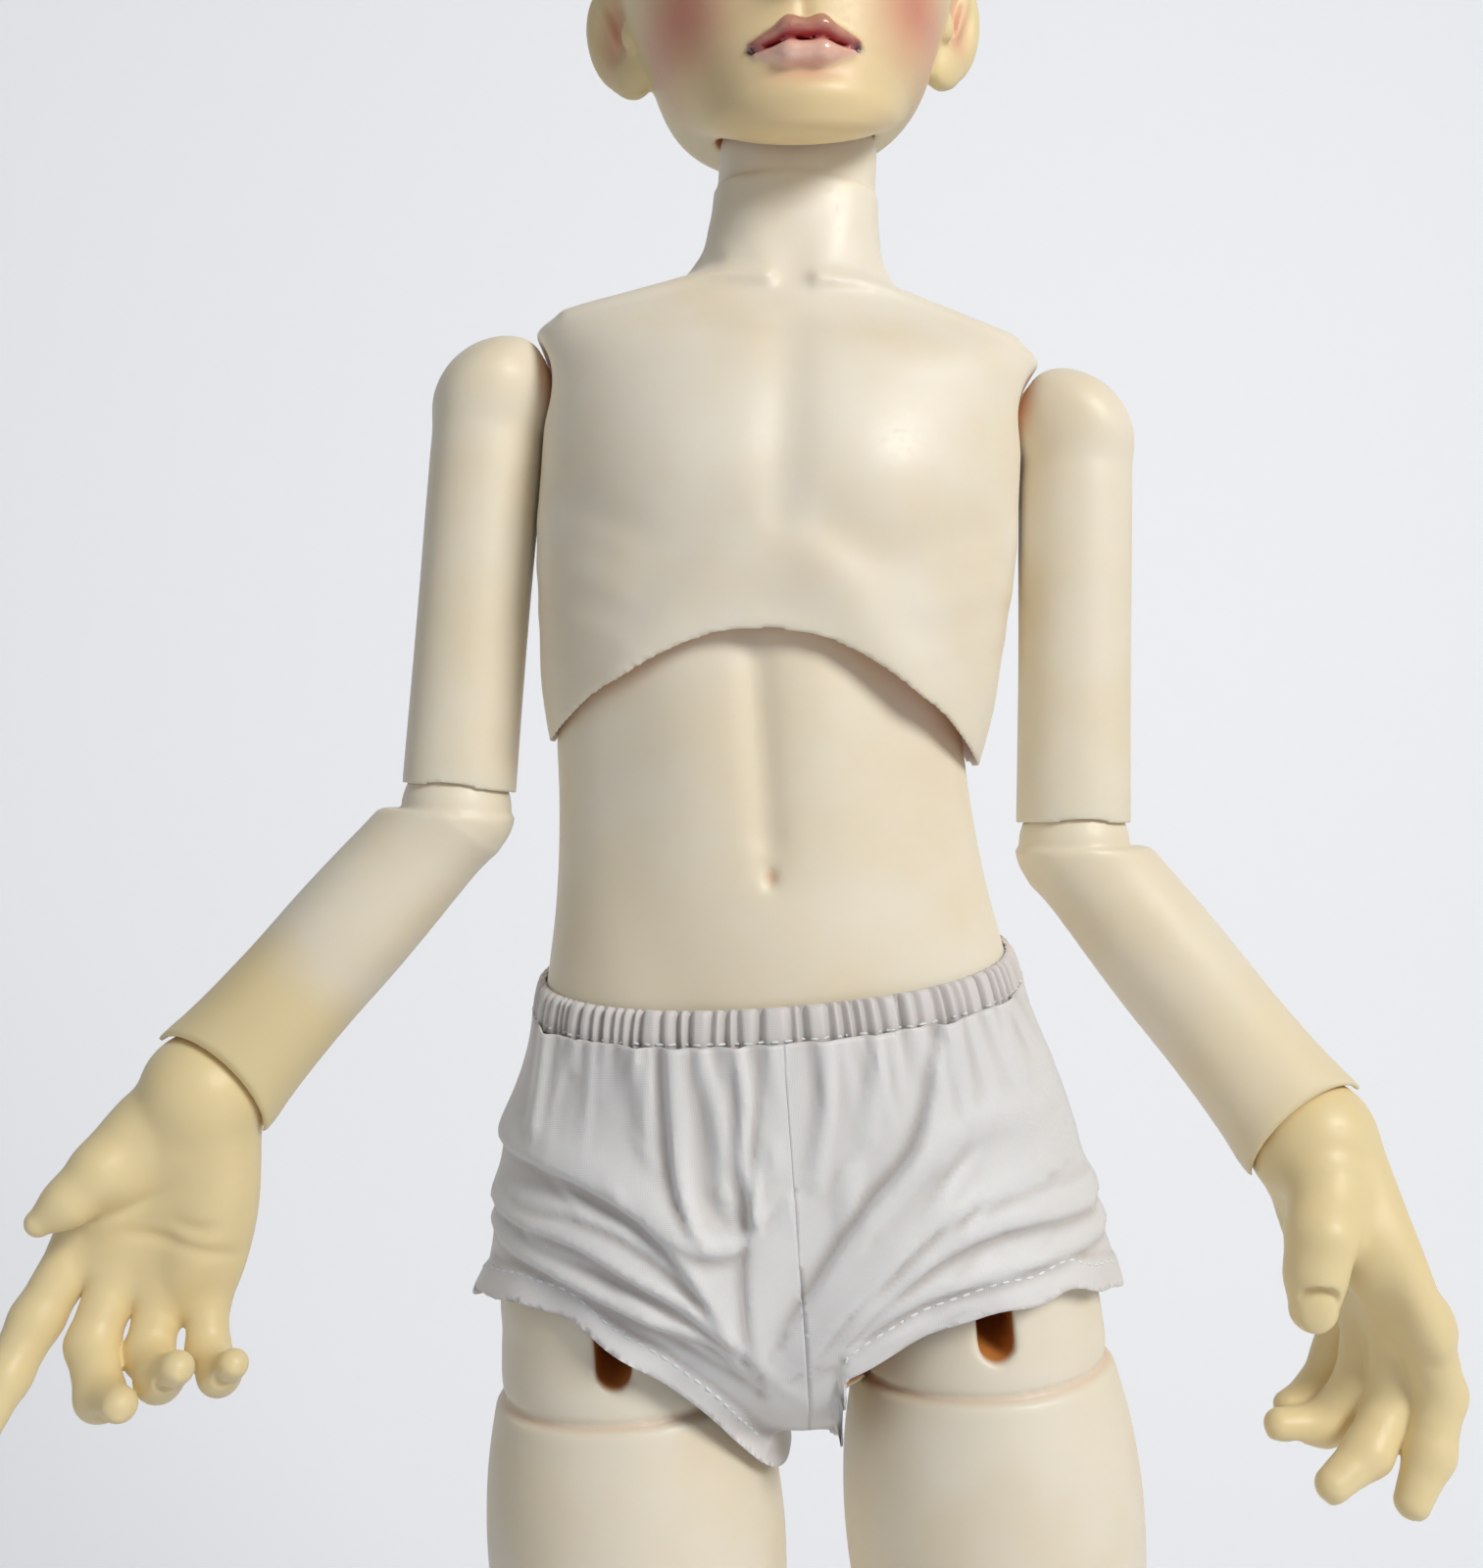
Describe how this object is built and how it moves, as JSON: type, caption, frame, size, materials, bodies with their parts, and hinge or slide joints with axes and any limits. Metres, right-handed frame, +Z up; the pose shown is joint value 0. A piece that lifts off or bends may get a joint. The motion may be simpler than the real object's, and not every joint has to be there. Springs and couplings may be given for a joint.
{
  "type": "ball-jointed doll",
  "caption": "Jointed resin doll strung on elastic, with ball joints at neck, waist, limbs and a lift-off head cap, in cotton shorts; it poses and stands on flat soles.",
  "frame": {"origin": "on the floor under the middle of the standing doll's box", "axes": "+Z up along the standing doll, -Y the way the face looks, +X towards the doll's left hand"},
  "size_m": [0.2914, 0.1152, 0.6496],
  "materials": {
    "body_resin": "satin",
    "face_resin": "satin",
    "hand_resin": "satin",
    "shorts_cotton": "satin",
    "band_cotton": "satin",
    "elastic_cord": "matte",
    "hook_steel": "satin",
    "magnet_nickel": "polished",
    "eye_acrylic": "gloss"
  },
  "bodies": {
    "lower_torso": {"lower_torso": "body_resin", "shorts": "shorts_cotton", "shorts_waistband": "band_cotton", "pelvis_elastic_left": "elastic_cord", "pelvis_elastic_right": "elastic_cord"},
    "waist_elastic": {"waist_elastic": "elastic_cord"},
    "upper_torso": {"upper_torso": "body_resin", "chest_arm_elastic": "elastic_cord", "neck_elastic": "elastic_cord"},
    "neck_hook": {"neck_hook": "hook_steel"},
    "head": {"head_shell": "face_resin", "left_eye": "eye_acrylic", "right_eye": "eye_acrylic", "head_magnet_front": "magnet_nickel", "head_magnet_back": "magnet_nickel"},
    "head_cap": {"head_cap": "face_resin", "cap_magnet_front": "magnet_nickel", "cap_magnet_back": "magnet_nickel"},
    "shoulder_elastic_left": {"shoulder_elastic_left": "elastic_cord"},
    "upper_arm_left": {"upper_arm_left": "body_resin", "upper_arm_elastic_left": "elastic_cord"},
    "elbow_elastic_left": {"elbow_elastic_left": "elastic_cord"},
    "forearm_left": {"forearm_left": "body_resin", "forearm_elastic_left": "elastic_cord"},
    "wrist_hook_left": {"wrist_hook_left": "hook_steel"},
    "hand_left": {"hand_left": "hand_resin", "wrist_pin_left": "hook_steel"},
    "hip_elastic_left": {"hip_elastic_left": "elastic_cord"},
    "thigh_left": {"thigh_left": "body_resin", "thigh_elastic_left": "elastic_cord"},
    "shin_left": {"shin_left": "body_resin", "shin_elastic_left": "elastic_cord"},
    "ankle_hook_left": {"ankle_hook_left": "hook_steel"},
    "foot_left": {"foot_left": "body_resin", "ankle_pin_left": "hook_steel"},
    "shoulder_elastic_right": {"shoulder_elastic_right": "elastic_cord"},
    "upper_arm_right": {"upper_arm_right": "body_resin", "upper_arm_elastic_right": "elastic_cord"},
    "elbow_elastic_right": {"elbow_elastic_right": "elastic_cord"},
    "forearm_right": {"forearm_right": "body_resin", "forearm_elastic_right": "elastic_cord"},
    "wrist_hook_right": {"wrist_hook_right": "hook_steel"},
    "hand_right": {"hand_right": "hand_resin", "wrist_pin_right": "hook_steel"},
    "hip_elastic_right": {"hip_elastic_right": "elastic_cord"},
    "thigh_right": {"thigh_right": "body_resin", "thigh_elastic_right": "elastic_cord"},
    "shin_right": {"shin_right": "body_resin", "shin_elastic_right": "elastic_cord"},
    "ankle_hook_right": {"ankle_hook_right": "hook_steel"},
    "foot_right": {"foot_right": "body_resin", "ankle_pin_right": "hook_steel"}
  },
  "joints": [
    {"name": "waist_lean", "type": "hinge", "parent": "lower_torso", "child": "waist_elastic", "pos_m": [0.01865, 0.00864, 0.4434], "axis": [0, 1, 0], "range_deg": [-18, 3]},
    {"name": "waist_bend", "type": "hinge", "parent": "waist_elastic", "child": "upper_torso", "pos_m": [0.01865, 0.00864, 0.4434], "axis": [0.9917, 0, -0.1288], "range_deg": [-6, 12]},
    {"name": "neck_turn", "type": "hinge", "parent": "upper_torso", "child": "neck_hook", "pos_m": [0.03418, 0.01164, 0.563], "axis": [0.1288, 0, 0.9917], "range_deg": [-60, 60]},
    {"name": "neck_nod", "type": "hinge", "parent": "neck_hook", "child": "head", "pos_m": [0.03418, 0.01164, 0.563], "axis": [0.999, 0.0349, -0.0279], "range_deg": [-12, 14]},
    {"name": "head_cap_lift", "type": "slide", "parent": "head", "child": "head_cap", "axis": [0.0061, 0.5123, 0.8588], "range_m": [0, 0.06]},
    {"name": "shoulder_swing_left", "type": "hinge", "parent": "upper_torso", "child": "shoulder_elastic_left", "pos_m": [0.08716, 0.00864, 0.51124], "axis": [-0.9917, 0, 0.1288], "range_deg": [-30, 110]},
    {"name": "shoulder_lift_left", "type": "hinge", "parent": "shoulder_elastic_left", "child": "upper_arm_left", "pos_m": [0.08716, 0.00864, 0.51124], "axis": [0, -1, 0], "range_deg": [0, 80]},
    {"name": "elbow_twist_left", "type": "hinge", "parent": "upper_arm_left", "child": "elbow_elastic_left", "pos_m": [0.08065, 0.00864, 0.42669], "axis": [-0.0767, 0, -0.9971], "range_deg": [-30, 90]},
    {"name": "elbow_bend_left", "type": "hinge", "parent": "elbow_elastic_left", "child": "forearm_left", "pos_m": [0.08065, 0.00864, 0.42669], "axis": [0, -1, 0], "range_deg": [-11, 10]},
    {"name": "wrist_twist_left", "type": "hinge", "parent": "forearm_left", "child": "wrist_hook_left", "pos_m": [0.12426, 0.00864, 0.36347], "axis": [0.5678, 0, -0.8231], "range_deg": [-80, 80]},
    {"name": "wrist_flex_left", "type": "hinge", "parent": "wrist_hook_left", "child": "hand_left", "pos_m": [0.12426, 0.00864, 0.36347], "axis": [0.1971, -0.9781, 0.0663], "range_deg": [-28, 28]},
    {"name": "hip_flex_left", "type": "hinge", "parent": "lower_torso", "child": "hip_elastic_left", "pos_m": [0.05465, 0.00864, 0.342], "axis": [-1, 0, 0], "range_deg": [-8, 70], "deforming": ["shorts"]},
    {"name": "hip_twist_left", "type": "hinge", "parent": "hip_elastic_left", "child": "thigh_left", "pos_m": [0.05465, 0.00864, 0.342], "axis": [0, 0, -1], "range_deg": [-15, 25]},
    {"name": "knee_flex_left", "type": "hinge", "parent": "thigh_left", "child": "shin_left", "pos_m": [0.05465, 0.00864, 0.182], "axis": [1, 0, 0], "range_deg": [0, 80]},
    {"name": "ankle_twist_left", "type": "hinge", "parent": "shin_left", "child": "ankle_hook_left", "pos_m": [0.05465, 0.00864, 0.036], "axis": [0, 0, 1], "range_deg": [-20, 20]},
    {"name": "ankle_flex_left", "type": "hinge", "parent": "ankle_hook_left", "child": "foot_left", "pos_m": [0.05465, 0.00864, 0.036], "axis": [1, 0, 0], "range_deg": [-20, 18]},
    {"name": "shoulder_swing_right", "type": "hinge", "parent": "upper_torso", "child": "shoulder_elastic_right", "pos_m": [-0.03026, 0.00864, 0.52649], "axis": [-0.9917, 0, 0.1288], "range_deg": [-30, 110]},
    {"name": "shoulder_lift_right", "type": "hinge", "parent": "shoulder_elastic_right", "child": "upper_arm_right", "pos_m": [-0.03026, 0.00864, 0.52649], "axis": [0, 1, 0], "range_deg": [0, 80]},
    {"name": "elbow_twist_right", "type": "hinge", "parent": "upper_arm_right", "child": "elbow_elastic_right", "pos_m": [-0.04337, 0.00864, 0.44271], "axis": [0.1547, 0, 0.988], "range_deg": [-30, 90]},
    {"name": "elbow_bend_right", "type": "hinge", "parent": "elbow_elastic_right", "child": "forearm_right", "pos_m": [-0.04337, 0.00864, 0.44271], "axis": [0, 1, 0], "range_deg": [-24, 10]},
    {"name": "wrist_twist_right", "type": "hinge", "parent": "forearm_right", "child": "wrist_hook_right", "pos_m": [-0.09825, 0.00864, 0.38898], "axis": [0.7145, 0, 0.6997], "range_deg": [-80, 80]},
    {"name": "wrist_flex_right", "type": "hinge", "parent": "wrist_hook_right", "child": "hand_right", "pos_m": [-0.09825, 0.00864, 0.38898], "axis": [0, 1, 0], "range_deg": [-28, 28]},
    {"name": "hip_flex_right", "type": "hinge", "parent": "lower_torso", "child": "hip_elastic_right", "pos_m": [-0.01735, 0.00864, 0.342], "axis": [-1, 0, 0], "range_deg": [-8, 70], "deforming": ["shorts"]},
    {"name": "hip_twist_right", "type": "hinge", "parent": "hip_elastic_right", "child": "thigh_right", "pos_m": [-0.01735, 0.00864, 0.342], "axis": [0, 0, 1], "range_deg": [-15, 25]},
    {"name": "knee_flex_right", "type": "hinge", "parent": "thigh_right", "child": "shin_right", "pos_m": [-0.01735, 0.00864, 0.182], "axis": [1, 0, 0], "range_deg": [0, 80]},
    {"name": "ankle_twist_right", "type": "hinge", "parent": "shin_right", "child": "ankle_hook_right", "pos_m": [-0.01735, 0.00864, 0.036], "axis": [0, 0, -1], "range_deg": [-20, 20]},
    {"name": "ankle_flex_right", "type": "hinge", "parent": "ankle_hook_right", "child": "foot_right", "pos_m": [-0.01735, 0.00864, 0.036], "axis": [1, 0, 0], "range_deg": [-20, 18]}
  ]
}
